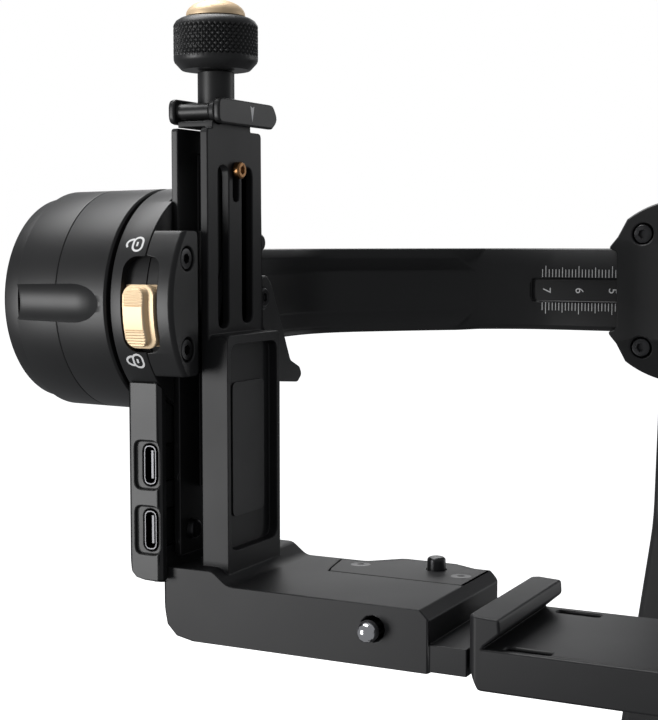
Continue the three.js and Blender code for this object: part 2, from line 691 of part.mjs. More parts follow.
// The beam's sections: the first number is down and the second is away from the camera.
function plainSection(tall, half) {
  return outline([
    [-tall, -half + 2.2], [-tall + 5, -half], [tall - 1.2, -half], [tall, -half + 1],
    [tall, half, 1.5], [-tall, half, 1.5],
  ]);
}

function lipSections(tall, half) {
  const edge = -half - LIP.proud;
  const inside = -half + LIP.deep;
  return [
    outline([
      [-tall, edge], [-tall + 2.6, edge], [-tall + 6.6, -half], [-tall + 6.6, inside], [-tall, inside],
    ]),
    outline([[tall - 6, -half], [tall - 1.8, edge], [tall, edge], [tall, inside], [tall - 6, inside]]),
  ];
}

function sweep(section) {
  const options = { steps: 36, extrudePath: beamPath(), curveSegments: CURVE };
  return solid(new THREE.ExtrudeGeometry(section, options)).translate([0, 0, (BEAM.low + BEAM.high) / 2]);
}

function rollBeam() {
  const { front, thick, low, high, right } = BEAM;
  const tall = (high - low) / 2;
  const half = thick / 2;
  const rootRight = ROOT.x + half;
  const rootBack = ROOT.x - half;
  const root = alongZ(outline([
    [ROOT.left, ROOT.front], [rootRight, ROOT.front], [rootRight, 56], [rootBack, 76],
    [ROOT.left, 46, 6],
  ]), low, high);
  const rulerPocket = alongY(
    rectangle(-25.5, right + 8, 73.9, 80.6, 1.5), front - BEYOND, front + 0.4,
  );
  const drumSeat = rodX(-120, -60, DRUM.radius + GAP, TILT.y, TILT.z, ROUND);
  // The lips run from the drum to a slanted end, where the straight part of the beam begins.
  const pastLips = alongZ(outline([
    [-44.05, 121.07], [-37.3, 134.5], [-37.3, 150], [80, 150], [80, 121.07],
  ]), low - BEYOND, high + BEYOND);
  const lips = lipSections(tall, half).map((section) => cut(sweep(section), pastLips));
  const body = join(sweep(plainSection(tall, half)), ...lips, root);
  return cut(body, drumSeat, rulerPocket);
}

place(head, 'roll_beam', rollBeam(), blackAnodised);

// ---------------------------------------------------------------- roll clamp and roll motor

function clampOutline() {
  const { radius, halfWidth } = ROLL_CLAMP;
  const shape = new THREE.Shape();
  const side = Math.acos(halfWidth / radius);
  const rise = radius * Math.sin(side);
  const { x, z } = ROLL;
  shape.absarc(x, z, radius, side + 0.12, Math.PI - side - 0.12, false);
  shape.lineTo(x - halfWidth, z + rise - 3);
  shape.lineTo(x - halfWidth - 2.4, z + 12.2);
  shape.lineTo(x - halfWidth, z + 11);
  shape.lineTo(x - halfWidth, z - 11);
  shape.lineTo(x - halfWidth - 2.4, z - 12.2);
  shape.lineTo(x - halfWidth, z - rise + 3);
  shape.absarc(x, z, radius, Math.PI + side + 0.12, 2 * Math.PI - side - 0.12, false);
  shape.lineTo(x + halfWidth, z - rise + 3);
  shape.lineTo(x + halfWidth, z + rise - 3);
  shape.closePath();
  return shape;
}

const CLAMP_SCREW = { dx: -11.4, dz: 16.2 };

function rollClamp() {
  const { front } = ROLL_CLAMP;
  const rear = BEAM.front + BEAM.thick + GAP;
  const geometry = new THREE.ExtrudeGeometry(clampOutline(), {
    depth: rear - front, bevelEnabled: false, curveSegments: 14,
  });
  const basis = new THREE.Matrix4().makeBasis(
    new THREE.Vector3(1, 0, 0), new THREE.Vector3(0, 0, 1), new THREE.Vector3(0, -1, 0),
  );
  const body = solid(geometry.applyMatrix4(basis).translate(0, rear, 0));
  const channel = box(
    -20, 60, BEAM.front - GAP, rear + BEYOND, BEAM.low - GAP, BEAM.high + GAP,
  );
  const wings = [1, -1].map((side) => alongX(outline([
    [front - BEYOND, ROLL.z + side * 13.4], [front, ROLL.z + side * 13.4],
    [front + 4, ROLL.z + side * 28], [front - BEYOND, ROLL.z + side * 28],
  ]), -20, 60));
  const bores = [1, -1].flatMap((up) => [1, -1].map((across) => rodY(
    front - 5, front + 4, 3, ROLL.x + across * CLAMP_SCREW.dx, ROLL.z + up * CLAMP_SCREW.dz, 24,
  )));
  const leverHole = rodY(front - 5, front + 5, 1.5, ROLL.x + 8, ROLL.z, 12);
  return cut(body, channel, ...wings, ...bores, leverHole);
}

place(head, 'roll_clamp', rollClamp(), blackAnodised);

function capScrewY(face, radius, length, x, z) {
  const body = turnedY([
    [face, 0], [face, radius - 0.3], [face + 0.3, radius], [face + length, radius], [face + length, 0],
  ], x, z, 18);
  return cut(body, rodY(face - BEYOND, face + 1, radius * 0.5, x, z, 6));
}

for (const [name, up] of [['roll_clamp_screw_upper', 1], ['roll_clamp_screw_lower', -1]]) {
  const x = ROLL.x + CLAMP_SCREW.dx;
  const z = ROLL.z + up * CLAMP_SCREW.dz;
  place(head, name, capScrewY(ROLL_CLAMP.front + 0.9, 2.6, 2.6, x, z), darkSteel);
}

const ROLL_LEVER = { x: ROLL.x + 8, front: 128.6 };
const rollLever = join(
  rodY(ROLL_LEVER.front, 133.6, 4.6, ROLL_LEVER.x, ROLL.z, 20),
  rodY(ROLL_LEVER.front + 1, 136, 1.2, ROLL_LEVER.x, ROLL.z, 12),
  alongY(outline([
    [ROLL_LEVER.x - 3.6, ROLL.z], [ROLL_LEVER.x + 3.6, ROLL.z],
    [ROLL_LEVER.x + 2.6, ROLL.z - 26, 2], [ROLL_LEVER.x - 2.6, ROLL.z - 26, 2],
  ]), ROLL_LEVER.front + 0.6, ROLL_LEVER.front + 4),
);
place(head, 'roll_clamp_lever', rollLever, blackAnodised);

const flangeRear = ROLL_MOTOR.front - GAP;
const rollRotorProfile = [
  [148.4, 0], [148.4, ROLL_CLAMP.radius - 0.5], [148.9, ROLL_CLAMP.radius], [flangeRear, ROLL_CLAMP.radius],
  [flangeRear, SHAFT_RADIUS], [160, SHAFT_RADIUS], [160, 20], [178, 20], [178, 0],
];
place(head, 'roll_rotor', turnedY(rollRotorProfile), blackAnodised);

function rollStator() {
  const { front, rear, radius } = ROLL_MOTOR;
  const shell = turnedY([
    [front, 12], [front, radius - 0.5], [front + 0.5, radius], [rear - 3, radius], [rear - 3, 23.2],
    [front + 2.5, 23.2], [front + 2.5, 12],
  ], ROLL.x, ROLL.z, ROUND);
  const recess = rollSliderTurn(sliderRecess(radius, -2.6, 6.3));
  return cut(shell, recess);
}

// The roll slider sits on the right-hand side of its motor.
function rollSliderTurn(shape) {
  return shape.rotate([0, 0, 90]).translate([ROLL.x, 169, ROLL.z]);
}

place(head, 'roll_stator', rollStator(), blackAnodised);
place(head, 'roll_lock_slider', rollSliderTurn(lockSlider(ROLL_MOTOR.radius, -2.6, 6.3)), gold);

const rollCapProfile = [
  [ROLL_MOTOR.rear - 7, 21.4], [ROLL_MOTOR.rear - 7, 22.9], [ROLL_MOTOR.rear - 2.7, 22.9],
  [ROLL_MOTOR.rear - 2.7, 25.4], [ROLL_MOTOR.rear - 0.6, 24.8], [ROLL_MOTOR.rear, 23.8],
  [ROLL_MOTOR.rear, 0], [ROLL_MOTOR.rear - 2.4, 0], [ROLL_MOTOR.rear - 2.4, 21.4],
];
place(head, 'roll_end_cap', turnedY(rollCapProfile), blackAnodised);

// ---------------------------------------------------------------- pan arm

function panArm() {
  const shape = outline([
    [155, 62], [156, 42, 4], [152.5, 8, 24], [103, -72, 16], [88, -82, 10], [60, -82],
    [60, -103.7], [94, -103.7, 26], [124, -82, 20], [172, -6, 40], [176, 40, 6], [176, 62],
  ]);
  const width = 23.6;
  const bevel = 2.4;
  const geometry = new THREE.ExtrudeGeometry(shape, {
    depth: width - 2 * bevel, bevelEnabled: true, bevelSize: 1.6, bevelThickness: bevel,
    bevelOffset: -1.6, bevelSegments: 2, curveSegments: CURVE,
  });
  const basis = new THREE.Matrix4().makeBasis(
    new THREE.Vector3(0, 1, 0), new THREE.Vector3(0, 0, 1), new THREE.Vector3(1, 0, 0),
  );
  const body = solid(geometry.applyMatrix4(basis).translate(PAN.x - width / 2 + bevel, 0, 0));
  const motorSeat = rodY(100, 200, ROLL_MOTOR.radius + GAP, ROLL.x, ROLL.z, ROUND);
  const panSeat = rodZ(-120, -60, PAN_MOTOR.radius + GAP, PAN.x, PAN.y, ROUND);
  return cut(body, motorSeat, panSeat);
}

place(head, 'pan_arm', panArm(), blackAnodised);

// ---------------------------------------------------------------- pan motor, on the pan axis

// The pan slider sits at the front of the rotor housing.
function panSliderTurn(shape) {
  return shape.rotate([0, 90, 0]).translate([0, 0, 210]);
}

function panRotor() {
  const { split, high, radius } = PAN_MOTOR;
  const shell = turnedZ([
    [split + GAP, 26], [split + GAP, radius - 0.5], [split + 0.8, radius], [high - 3, radius],
    [high - 0.8, radius - 2], [high, radius - 4], [high, 0], [high - 3, 0], [high - 3, 26],
  ]);
  return cut(shell, panSliderTurn(sliderRecess(radius, -6.3, 2.6)));
}

place(stabilizer, 'pan_rotor', panRotor(), blackAnodised);
place(stabilizer, 'pan_lock_slider', panSliderTurn(lockSlider(PAN_MOTOR.radius, -6.3, 2.6)), gold);

const panStatorProfile = [
  [PAN_MOTOR.low, 24], [PAN_MOTOR.low, 25.6], [PAN_MOTOR.low + 7, 29], [PAN_MOTOR.low + 10, 30],
  [PAN_MOTOR.split - 0.5, 30], [PAN_MOTOR.split, 29.5], [PAN_MOTOR.split, 12.3],
  [PAN_MOTOR.split - 3, 12.3], [PAN_MOTOR.split - 3, 24],
];
place(stabilizer, 'pan_stator', turnedZ(panStatorProfile, 0, 0, ROUND), blackAnodised);

const panShaftProfile = [
  [176, 0], [176, 20], [188, 20], [188, SHAFT_RADIUS], [PAN_MOTOR.high - 3.3, SHAFT_RADIUS],
  [PAN_MOTOR.high - 3.3, 0],
];
place(stabilizer, 'pan_shaft', turnedZ(panShaftProfile, 0, 0, 24), steel);

// ---------------------------------------------------------------- handle

// Outer radius of the grip at each height, before the sideways squash.
const GRIP = [
  [HANDLE.base + GAP, 19.4], [14, 20.4], [40, 21], [98, 20], [116, 21.4], [152, 24.6],
  [HANDLE.top, 25.2],
];

function gripShell(points, offset) {
  return points.map(([z, radius]) => [z, radius + offset]);
}

function handleBody() {
  const outer = gripShell(GRIP, 0);
  const inner = gripShell(GRIP, -HANDLE.wall).reverse();
  const shell = turnedZ([...outer, ...inner], 0, 0, 24).scale([HANDLE.squash, 1, 1]);
  const room = turnedZ([
    [0, 0], [0, 17], ...gripShell(GRIP, -HANDLE.wall), [HANDLE.top + 5, 22], [HANDLE.top + 5, 0],
  ], 0, 0, 24).scale([HANDLE.squash, 1, 1]);
  const { face, halfWidth, low, high } = PANEL;
  const panel = alongY(rectangle(-halfWidth, halfWidth, low, high, 4), 12, face);
  return join(shell, cut(panel, room));
}

const JOYSTICK = { z: 134 };
const BUTTONS = [['record_button', -7.2, 115], ['mode_button', 7.2, 115]];
const DISPLAY = { halfWidth: 11, low: 146, high: 160 };
const TRIGGER = { pivotY: -18.5, pivotZ: 150, halfWidth: 4.6 };
const DIAL = { z: 132, radius: 11 };

function handleCuts() {
  const trigger = box(-5, 5, -40, -8, 120, 155);
  const joystick = rodY(10, 30, 7.2, 0, JOYSTICK.z, 18);
  const display = alongY(
    rectangle(-DISPLAY.halfWidth, DISPLAY.halfWidth, DISPLAY.low, DISPLAY.high, 1.5),
    PANEL.face - 1.5, 30,
  );
  const buttons = BUTTONS.map(([, x, z]) => rodY(10, 30, 4.1, x, z, 18));
  const dial = rodX(-40, 0, 2.3, 0, DIAL.z, 12);
  return [trigger, joystick, display, ...buttons, dial];
}

const handle = cut(handleBody(), ...handleCuts());
place(stabilizer, 'front_shell', handle.intersect(box(-50, 50, -50, -GAP / 2, 0, 200)), blackPlastic);
place(stabilizer, 'rear_shell', handle.intersect(box(-50, 50, GAP / 2, 50, 0, 200)), blackPlastic);

const sleeveZ = GRIP.slice(1, 4);
const sleeve = turnedZ(
  [...gripShell(sleeveZ, 1.8), ...gripShell(sleeveZ, 0.3).reverse()], 0, 0, 40,
).scale([HANDLE.squash, 1, 1]);
place(stabilizer, 'grip_sleeve', sleeve, rubber);

const basePlate = cut(
  turnedZ([[0, 0], [0, 18.2], [1.2, 19.4], [HANDLE.base, 19.4], [HANDLE.base, 0]], 0, 0, 24)
    .scale([HANDLE.squash, 1, 1]),
  rodZ(-BEYOND, 7, 3.1, 0, 0, 24),
);
place(stabilizer, 'base_plate', basePlate, blackAnodised);

const batteryProfile = [[16, 0], [16, 12.2], [17, 13], [84, 13], [85, 12.2], [85, 5], [87, 5], [87, 0]];
place(stabilizer, 'battery', turnedZ(batteryProfile, 0, 0, 20), batteryWrap);
place(stabilizer, 'control_board', box(-12, 12, 4, 5.6, 95, 160), board);

const displayGlass = alongY(rectangle(
  -DISPLAY.halfWidth + GAP, DISPLAY.halfWidth - GAP, DISPLAY.low + GAP, DISPLAY.high - GAP, 1.3,
), PANEL.face - 1.2, PANEL.face - 0.1);
place(stabilizer, 'display_window', displayGlass, glass);

const ringProfile = [[20.6, 4], [20.6, 6.4], [23, 6.6], [23, 4]];
place(stabilizer, 'joystick_ring', turnedY(ringProfile, 0, JOYSTICK.z, 18), darkSteel);

const stickProfile = [
  [18, 0], [18, 2.4], [24.5, 2], [26, 2.2], [26.6, 5.4], [27.6, 5.8], [28.6, 5.4], [28.2, 3], [28, 0],
];
place(stabilizer, 'joystick_cap', turnedY(stickProfile, 0, JOYSTICK.z, 18), rubber);

for (const [name, x, z] of BUTTONS) {
  const profile = [[20, 0], [20, 3.8], [26, 3.8], [26.5, 3.3], [26.5, 0]];
  place(stabilizer, name, turnedY(profile, x, z, 18), blackPlastic);
}

const { pivotY, pivotZ, halfWidth: triggerHalf } = TRIGGER;
const triggerShape = outline([
  [pivotY + 4, pivotZ + 3.5, 2], [pivotY - 5.5, pivotZ + 3.5, 2], [-26.8, 140, 6],
  [-29, 131, 6], [-31, 123.5, 1], [-27.6, 122, 1], [-24.5, 131, 5], [-20, 141, 4],
  [pivotY + 4, pivotZ - 4, 2],
]);
place(stabilizer, 'trigger', alongX(triggerShape, -triggerHalf, triggerHalf), blackPlastic);

const dial = join(
  turnedX([[-28, 0], [-28, 9.6], [-27.2, DIAL.radius], [-23.6, DIAL.radius], [-23.6, 0]], 0, DIAL.z, 24),
  rodX(-24, -17, 2, 0, DIAL.z, 12),
);
place(stabilizer, 'focus_dial', dial, blackAnodised);

export default stabilizer;
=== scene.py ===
"""Looks for a handheld three-axis camera gimbal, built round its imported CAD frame.

Shapes are drawn in millimetres. Places are in metres, in the frame's coordinates: the handle
stands on the origin, the lens looks along -Y and the tilt motor is on the left.
"""

import json
import math

import bmesh
import bpy
from mathutils import Matrix, Vector


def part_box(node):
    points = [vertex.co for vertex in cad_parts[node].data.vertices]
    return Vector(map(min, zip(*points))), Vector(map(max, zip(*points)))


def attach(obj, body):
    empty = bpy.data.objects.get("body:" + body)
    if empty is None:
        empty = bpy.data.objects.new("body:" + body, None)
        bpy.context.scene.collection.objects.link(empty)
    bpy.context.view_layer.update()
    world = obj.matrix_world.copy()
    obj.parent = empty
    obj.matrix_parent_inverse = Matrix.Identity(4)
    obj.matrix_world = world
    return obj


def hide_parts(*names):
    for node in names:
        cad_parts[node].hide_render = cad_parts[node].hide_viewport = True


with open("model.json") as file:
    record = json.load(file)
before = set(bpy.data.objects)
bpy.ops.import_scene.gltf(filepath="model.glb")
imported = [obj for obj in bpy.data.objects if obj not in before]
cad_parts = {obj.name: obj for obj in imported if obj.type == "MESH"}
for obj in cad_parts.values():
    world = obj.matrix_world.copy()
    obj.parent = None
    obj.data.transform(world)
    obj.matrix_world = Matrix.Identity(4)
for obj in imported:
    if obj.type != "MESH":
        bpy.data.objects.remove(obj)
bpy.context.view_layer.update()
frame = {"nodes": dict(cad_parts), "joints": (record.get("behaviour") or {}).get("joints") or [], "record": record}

MM = 0.001
AROUND = 144  # sides of a large turned piece
EDGE = 0.4  # usual rounding of a turned edge, in mm
CAD_EDGE = 0.3  # usual rounding of an edge on a piece that comes from the CAD, in mm
MOTOR_RADIUS = 26.5  # tilt and roll motors, in mm
PAN_RADIUS = 30  # pan motor, in mm
INK = 0.03  # how far printed marks stand off the surface, in mm

nodes = frame["nodes"]
slot_of = {part["node"]: part["material_slot"] for part in frame["record"]["subparts"]}
body_of = {
    node: body for body, members in frame["record"]["behaviour"]["bodies"].items() for node in members
}
pivot = {joint["name"]: Vector(joint["pos_m"]) for joint in frame["joints"] if "pos_m" in joint}


# ---------------------------------------------------------------- camera, lights and floor


def add_camera():
    camera = bpy.data.cameras.new("camera")
    camera.lens = 75.01
    camera.sensor_width = 36
    camera.clip_start = 0.01
    holder = bpy.data.objects.new("camera", camera)
    holder.location = (0.10142, -0.33357, 0.39251)
    holder.rotation_euler = (math.radians(85.36), 0, math.radians(26.69))
    bpy.context.scene.collection.objects.link(holder)
    bpy.context.scene.camera = holder


def add_softbox(name, place, aim, width, height, watts):
    light = bpy.data.lights.new(name, "AREA")
    light.shape = "RECTANGLE"
    light.size = width
    light.size_y = height
    light.energy = watts
    holder = bpy.data.objects.new(name, light)
    holder.location = place
    holder.rotation_euler = (Vector(aim) - Vector(place)).to_track_quat("-Z", "Y").to_euler()
    bpy.context.scene.collection.objects.link(holder)


def add_lights():
    middle = (-0.03, 0, 0.36)
    add_softbox("front_box", (-0.62, -0.85, 0.28), middle, 0.35, 0.5, 6.5)
    add_softbox("top_box", (-0.42, 0.12, 1.25), middle, 0.9, 0.5, 10)
    add_softbox("right_box", (0.65, 1.05, 0.5), middle, 0.4, 0.9, 1.7)
    add_softbox("rear_box", (-0.5, 1.1, 0.8), middle, 0.7, 0.4, 1.5)


# A white room: the camera sees plain white, and the object gets a dimmer, even light from it.
def add_room():
    world = bpy.data.worlds.new("room")
    world.use_nodes = True
    tree = world.node_tree
    tree.nodes.clear()
    seen = tree.nodes.new("ShaderNodeBackground")
    seen.inputs["Color"].default_value = (1, 1, 1, 1)
    felt = tree.nodes.new("ShaderNodeBackground")
    felt.inputs["Color"].default_value = (0.95, 0.97, 1, 1)
    felt.inputs["Strength"].default_value = 0.26
    path = tree.nodes.new("ShaderNodeLightPath")
    mix = tree.nodes.new("ShaderNodeMixShader")
    output = tree.nodes.new("ShaderNodeOutputWorld")
    tree.links.new(path.outputs["Is Camera Ray"], mix.inputs["Fac"])
    tree.links.new(felt.outputs["Background"], mix.inputs[1])
    tree.links.new(seen.outputs["Background"], mix.inputs[2])
    tree.links.new(mix.outputs["Shader"], output.inputs["Surface"])
    bpy.context.scene.world = world


def add_floor():
    half = 12
    corners = [(-half, -half, 0), (half, -half, 0), (half, half, 0), (-half, half, 0)]
    mesh = bpy.data.meshes.new("floor")
    mesh.from_pydata(corners, [], [(0, 1, 2, 3)])
    floor = bpy.data.objects.new("floor", mesh)
    bpy.context.scene.collection.objects.link(floor)
    material = bpy.data.materials.new("floor")
    material.use_nodes = True
    shader = material.node_tree.nodes["Principled BSDF"]
    shader.inputs["Base Color"].default_value = (0.8, 0.8, 0.8, 1)
    shader.inputs["Roughness"].default_value = 0.9
    shader.inputs["Emission Color"].default_value = (1, 1, 1, 1)
    shader.inputs["Emission Strength"].default_value = 0.92
    mesh.materials.append(material)
    floor.visible_diffuse = False
    floor.visible_glossy = False


# ---------------------------------------------------------------- materials


def surface(name, colour, metallic, roughness, grain, depth, mottle=0.12, stretch=(1, 1, 1), **sockets):
    """A machined or moulded surface: fine grain in its relief, and slow drift in colour and gloss.

    grain is the size of the relief in mm and depth its height in mm.
    """
    drift_size = 18
    material = bpy.data.materials.new(name)
    material.use_nodes = True
    tree = material.node_tree
    shader = tree.nodes["Principled BSDF"]
    shader.inputs["Metallic"].default_value = metallic
    for socket, value in sockets.items():
        shader.inputs[socket.replace("_", " ")].default_value = value

    place = tree.nodes.new("ShaderNodeTexCoord")
    spread = tree.nodes.new("ShaderNodeMapping")
    spread.inputs["Scale"].default_value = stretch
    tree.links.new(place.outputs["Object"], spread.inputs["Vector"])

    drift = tree.nodes.new("ShaderNodeTexNoise")
    drift.inputs["Scale"].default_value = 1 / (drift_size * MM)
    drift.inputs["Detail"].default_value = 5
    tree.links.new(place.outputs["Object"], drift.inputs["Vector"])

    tint = tree.nodes.new("ShaderNodeValToRGB")
    low, high = tint.color_ramp.elements
    low.position, high.position = 0.3, 0.7
    low.color = [c * (1 - mottle) for c in colour] + [1]
    high.color = [min(1, c * (1 + mottle)) for c in colour] + [1]
    tree.links.new(drift.outputs["Fac"], tint.inputs["Fac"])
    tree.links.new(tint.outputs["Color"], shader.inputs["Base Color"])

    gloss = tree.nodes.new("ShaderNodeMapRange")
    gloss.inputs["To Min"].default_value = roughness * 0.9
    gloss.inputs["To Max"].default_value = min(1, roughness * 1.1)
    tree.links.new(drift.outputs["Fac"], gloss.inputs["Value"])
    tree.links.new(gloss.outputs["Result"], shader.inputs["Roughness"])

    relief = tree.nodes.new("ShaderNodeTexNoise")
    relief.inputs["Scale"].default_value = 1 / (grain * MM)
    relief.inputs["Detail"].default_value = 2
    tree.links.new(spread.outputs["Vector"], relief.inputs["Vector"])
    bump = tree.nodes.new("ShaderNodeBump")
    bump.inputs["Distance"].default_value = depth * MM
    bump.inputs["Strength"].default_value = 1
    tree.links.new(relief.outputs["Fac"], bump.inputs["Height"])
    tree.links.new(bump.outputs["Normal"], shader.inputs["Normal"])
    return material


def circuit_board():
    """Green solder mask with a grid of copper lines under it."""
    material = surface("circuit_board", (0.01, 0.09, 0.035), 0, 0.35, 0.5, 0.01)
    tree = material.node_tree
    shader = tree.nodes["Principled BSDF"]
    tracks = tree.nodes.new("ShaderNodeTexBrick")
    tracks.inputs["Scale"].default_value = 220
    tracks.inputs["Mortar Size"].default_value = 0.03
    tracks.inputs["Color1"].default_value = (0.008, 0.075, 0.03, 1)
    tracks.inputs["Color2"].default_value = (0.012, 0.1, 0.04, 1)
    tracks.inputs["Mortar"].default_value = (0.05, 0.16, 0.05, 1)
    place = tree.nodes["Texture Coordinate"]
    turn = tree.nodes.new("ShaderNodeMapping")
    turn.inputs["Rotation"].default_value = (math.radians(90), 0, 0)
    tree.links.new(place.outputs["Object"], turn.inputs["Vector"])
    tree.links.new(turn.outputs["Vector"], tracks.inputs["Vector"])
    tree.links.new(tracks.outputs["Color"], shader.inputs["Base Color"])
    return material


materials = {
    "black_anodised": surface("black_anodised", (0.0135, 0.0135, 0.014), 0.15, 0.42, 0.16, 0.004),
    "grey_anodised": surface(
        "grey_anodised", (0.015, 0.015, 0.016), 0, 0.46, 0.2, 0.006, Specular_IOR_Level=0.28,
    ),
    "gold_anodised": surface("gold_anodised", (0.86, 0.66, 0.43), 0.6, 0.52, 0.12, 0.002, 0.04),
    "bronze": surface("bronze", (0.3, 0.155, 0.065), 1, 0.36, 0.12, 0.003),
    "chrome": surface("chrome", (0.72, 0.72, 0.74), 1, 0.12, 0.3, 0.0008, 0.03),
    "dark_steel": surface("dark_steel", (0.05, 0.05, 0.052), 0.85, 0.3, 0.12, 0.003),
    "steel": surface("steel", (0.08, 0.08, 0.084), 1, 0.34, 0.1, 0.002, 0.06, (8, 1, 1)),
    "black_plastic": surface("black_plastic", (0.014, 0.014, 0.015), 0, 0.5, 0.35, 0.02),
    "rubber": surface("rubber", (0.011, 0.011, 0.011), 0, 0.8, 0.4, 0.03),
    "display_glass": surface(
        "display_glass", (0.004, 0.005, 0.006), 0, 0.07, 6, 0.0005, Coat_Weight=1.0, Coat_Roughness=0.03,
    ),
    "circuit_board": circuit_board(),
    "battery_wrap": surface("battery_wrap", (0.02, 0.09, 0.18), 0, 0.28, 3, 0.02),
}
white_print = surface("white_print", (0.78, 0.78, 0.78), 0, 0.55, 0.1, 0.003, 0.05)


# ---------------------------------------------------------------- mesh tools


def frame_of(axis):
    """Turns (along, side, up) into the frame's X, Y, Z for a piece whose axis is X, Y or Z."""
    order = {"X": (0, 1, 2), "Y": (1, 2, 0), "Z": (2, 0, 1)}[axis]

    def turn(along, side, up):
        point = [0, 0, 0]
        for index, value in zip(order, (along, side, up)):
            point[index] = value
        return Vector(point)

    return turn


def add_piece(name, mesh_builder, origin=(0, 0, 0)):
    """A new object from a bmesh drawn in mm round origin, which is in metres."""
    mesh = bpy.data.meshes.new(name)
    bmesh.ops.recalc_face_normals(mesh_builder, faces=mesh_builder.faces)
    mesh_builder.transform(Matrix.Translation(Vector(origin)) @ Matrix.Scale(MM, 4))
    mesh_builder.to_mesh(mesh)
    mesh_builder.free()
    piece = bpy.data.objects.new(name, mesh)
    bpy.context.scene.collection.objects.link(piece)
    return piece


def smooth(piece, angle=30):
    for face in piece.data.polygons:
        face.use_smooth = True
    piece.data.set_sharp_from_angle(angle=math.radians(angle))


def filleted(profile, radius=EDGE, steps=3):
    """The profile with its corners rounded, except those on the axis."""
    count = len(profile)
    closed = profile[0][1] > 0
    rounded = []
    for i, point in enumerate(profile):
        here = Vector(point)
        if point[1] == 0 or (not closed and i in (0, count - 1)):
            rounded.append(here)
            continue
        before = Vector(profile[i - 1]) - here
        after = Vector(profile[(i + 1) % count]) - here
        reach = min(radius, 0.45 * before.length, 0.45 * after.length)
        start = here + before.normalized() * reach
        end = here + after.normalized() * reach
        for step in range(steps + 1):
            t = step / steps
            rounded.append(start * (1 - t) ** 2 + here * 2 * t * (1 - t) + end * t**2)
    return rounded


def skin(build, first, second):
    """Faces between two rings of vertices. A ring of one vertex is a point on the axis."""
    count = max(len(first), len(second))
    for i in range(count):
        j = (i + 1) % count
        corners = [
            first[i % len(first)], first[j % len(first)],
            second[j % len(second)], second[i % len(second)],
        ]
        corners = list(dict.fromkeys(corners))
        if len(corners) > 2:
            build.faces.new(corners)


def lathe(name, profile, origin, axis, segments=AROUND, radius=EDGE):
    """A turned piece: profile is a list of [mm along the axis from origin, radius in mm]."""
    turn = frame_of(axis)
    on_axis = 1e-6
    angles = [2 * math.pi * i / segments for i in range(segments)]
    build = bmesh.new()
    rings = []
    for along, reach in filleted(profile, radius):
        if reach < on_axis:
            rings.append([build.verts.new(turn(along, 0, 0))])
            continue
        spots = [turn(along, reach * math.cos(a), reach * math.sin(a)) for a in angles]
        rings.append([build.verts.new(spot) for spot in spots])
    pairs = list(zip(rings, rings[1:]))
    if len(rings[0]) > 1:
        pairs.append((rings[-1], rings[0]))
    for first, second in pairs:
        skin(build, first, second)
    piece = add_piece(name, build, origin)
    smooth(piece)
    return piece


def prism(name, outline, low, high, origin, axis):
    """A straight-sided piece: outline is [(side, up)] in mm, run along the axis from low to high."""
    turn = frame_of(axis)
    build = bmesh.new()
    ends = [[build.verts.new(turn(along, side, up)) for side, up in outline] for along in (low, high)]
    build.faces.new(ends[0])
    build.faces.new(ends[1])
    count = len(outline)
    for i in range(count):
        j = (i + 1) % count
        build.faces.new([ends[0][i], ends[0][j], ends[1][j], ends[1][i]])
    return add_piece(name, build, origin)


def regular(sides, radius, turned_by):
    """The outline of a regular polygon, centred on zero."""
    angles = [turned_by + 2 * math.pi * i / sides for i in range(sides)]
    return [(radius * math.cos(a), radius * math.sin(a)) for a in angles]


def rounded_box(width, height, radius, steps=6):
    """A rectangle's outline with round corners, centred on zero."""
    points = []
    for corner, (sx, sy) in enumerate([(1, 1), (-1, 1), (-1, -1), (1, -1)]):
        for step in range(steps + 1):
            angle = math.radians(90 * corner + 90 * step / steps)
            points.append((
                sx * (width / 2 - radius) + radius * math.cos(angle),
                sy * (height / 2 - radius) + radius * math.sin(angle),
            ))
    return points


def settle(piece):
    """Applies the piece's modifiers to its mesh."""
    depsgraph = bpy.context.evaluated_depsgraph_get()
    made = bpy.data.meshes.new_from_object(piece.evaluated_get(depsgraph))
    piece.modifiers.clear()
    piece.data = made


def carve(piece, cutter, operation="DIFFERENCE"):
    """Cuts the cutter out of the piece, or keeps what they share, and removes the cutter."""
    modifier = piece.modifiers.new("carve", "BOOLEAN")
    modifier.operation = operation
    modifier.solver = "EXACT"
    modifier.object = cutter
    settle(piece)
    bpy.data.objects.remove(cutter)
    smooth(piece)


def soften(piece, width):
    """Rounds the edges of a machined piece and shades its flat faces flat."""
    same_point = 0.005  # mm
    same_plane = 0.05  # degrees
    left_sharp = 32  # degrees: an edge that turns less than this isn't rounded
    weld = piece.modifiers.new("weld", "WELD")
    weld.merge_threshold = same_point * MM
    flat = piece.modifiers.new("flat", "DECIMATE")
    flat.decimate_type = "DISSOLVE"
    flat.angle_limit = math.radians(same_plane)
    bevel = piece.modifiers.new("bevel", "BEVEL")
    bevel.width = width * MM
    bevel.segments = 2
    bevel.limit_method = "ANGLE"
    bevel.angle_limit = math.radians(left_sharp)
    bevel.use_clamp_overlap = False
    bevel.miter_outer = "MITER_ARC"
    normals = piece.modifiers.new("normals", "WEIGHTED_NORMAL")
    normals.keep_sharp = True
    for face in piece.data.polygons:
        face.use_smooth = True


def finish_piece(piece, material, body, replaces=()):
    """Gives the piece its material and its body, and hides the CAD nodes it stands for."""
    piece.data.materials.clear()
    piece.data.materials.append(material)
    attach(piece, body)
    if replaces:
        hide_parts(*replaces)


def stand_for(piece, node):
    """The piece takes the place, the body and the finish of a CAD node."""
    finish_piece(piece, materials[slot_of[node]], body_of[node], [node])


def low_end(node, axis, centre):
    """The point on the axis through centre where the node begins."""
    low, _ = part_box(node)
    point = Vector(centre)
    index = "XYZ".index(axis)
    point[index] = low[index]
    return point


